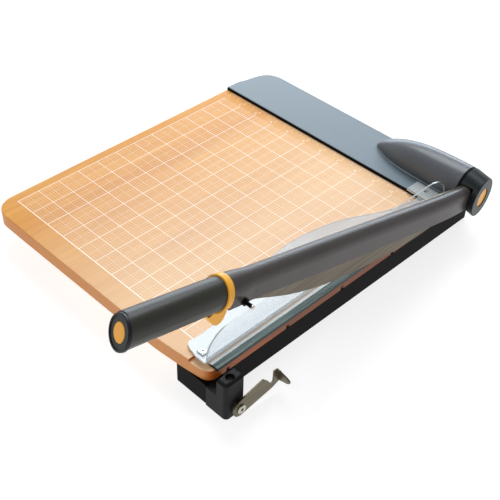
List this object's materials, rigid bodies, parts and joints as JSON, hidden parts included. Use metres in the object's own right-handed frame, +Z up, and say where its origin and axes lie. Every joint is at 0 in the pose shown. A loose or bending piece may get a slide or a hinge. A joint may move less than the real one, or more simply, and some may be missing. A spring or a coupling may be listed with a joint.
{
  "type": "guillotine paper cutter",
  "caption": "Guillotine paper cutter: wooden board with a printed inch grid, backstop bar, clear finger guard and a hinged blade arm with a round handle and a folding latch.",
  "frame": {"origin": "on the table, under the middle of the whole footprint (board, raised handle and thumb tab)", "axes": "+X across the board towards the cutting edge, +Y from the handle end to the hinge end, +Z up"},
  "size_m": [0.36, 0.4884, 0.1798],
  "materials": {
    "board_wood": "clear satin lacquer over light hardwood veneer",
    "bar_paint": "satin blue-grey paint",
    "black_trim": "matte",
    "pod_plastic": "satin-gloss smoke grey",
    "plain_steel": "plain machined",
    "screw_steel": "zinc plated",
    "bed_steel": "ground",
    "clear_plastic": "clear moulded",
    "rail_black": "satin black paint",
    "pad_rubber": "plain",
    "block_plastic": "fine texture",
    "latch_plated": "bright nickel plate",
    "beam_paint": "satin dark warm grey paint",
    "bush_bronze": "plain bronze",
    "cap_plastic": "satin",
    "orange_plastic": "satin",
    "blade_coated": "titanium coloured coating",
    "tang_aluminium": "plain tube",
    "grip_plastic": "soft satin",
    "latch_steel": "olive passivated sheet steel"
  },
  "bodies": {
    "base": {"base_board": "board_wood", "backstop_bar": "bar_paint", "backstop_fence": "black_trim", "hinge_pod": "pod_plastic", "hinge_bracket": "plain_steel", "pivot_bolt": "plain_steel", "spring_washers": "plain_steel", "pivot_nut": "plain_steel", "thrust_spring": "plain_steel", "bracket_screws": "screw_steel", "bed_blade": "bed_steel", "bed_blade_screws": "screw_steel", "bar_screws": "screw_steel", "finger_guard": "clear_plastic", "guard_screws": "screw_steel", "side_rail": "rail_black", "rail_screws": "screw_steel", "left_feet": "rail_black", "foot_screws": "screw_steel", "foot_pads": "pad_rubber", "latch_block": "block_plastic", "stop_plug": "pad_rubber", "block_pins": "screw_steel", "latch_rivet": "latch_plated", "latch_washer": "latch_plated"},
    "arm": {"arm_beam": "beam_paint", "pivot_bush": "bush_bronze", "hub_cap": "cap_plastic", "hub_badge": "orange_plastic", "blade": "blade_coated", "blade_screws": "screw_steel", "handle_tang": "tang_aluminium", "finger_ring": "orange_plastic", "handle_grip": "grip_plastic", "end_cap": "cap_plastic", "end_insert": "orange_plastic", "lock_stud": "black_trim", "stud_tip": "latch_plated"},
    "latch": {"latch_bar": "latch_steel"}
  },
  "joints": [
    {"name": "arm_hinge", "type": "hinge", "parent": "base", "child": "arm", "pos_m": [0.143, 0.22069, 0.0544], "axis": [-1, 0, 0], "range_deg": [-13.75, 46]},
    {"name": "latch_hinge", "type": "hinge", "parent": "base", "child": "latch", "pos_m": [0.1651, -0.13001, 0.01], "axis": [1, 0, 0], "range_deg": [-8, 86.1]}
  ]
}
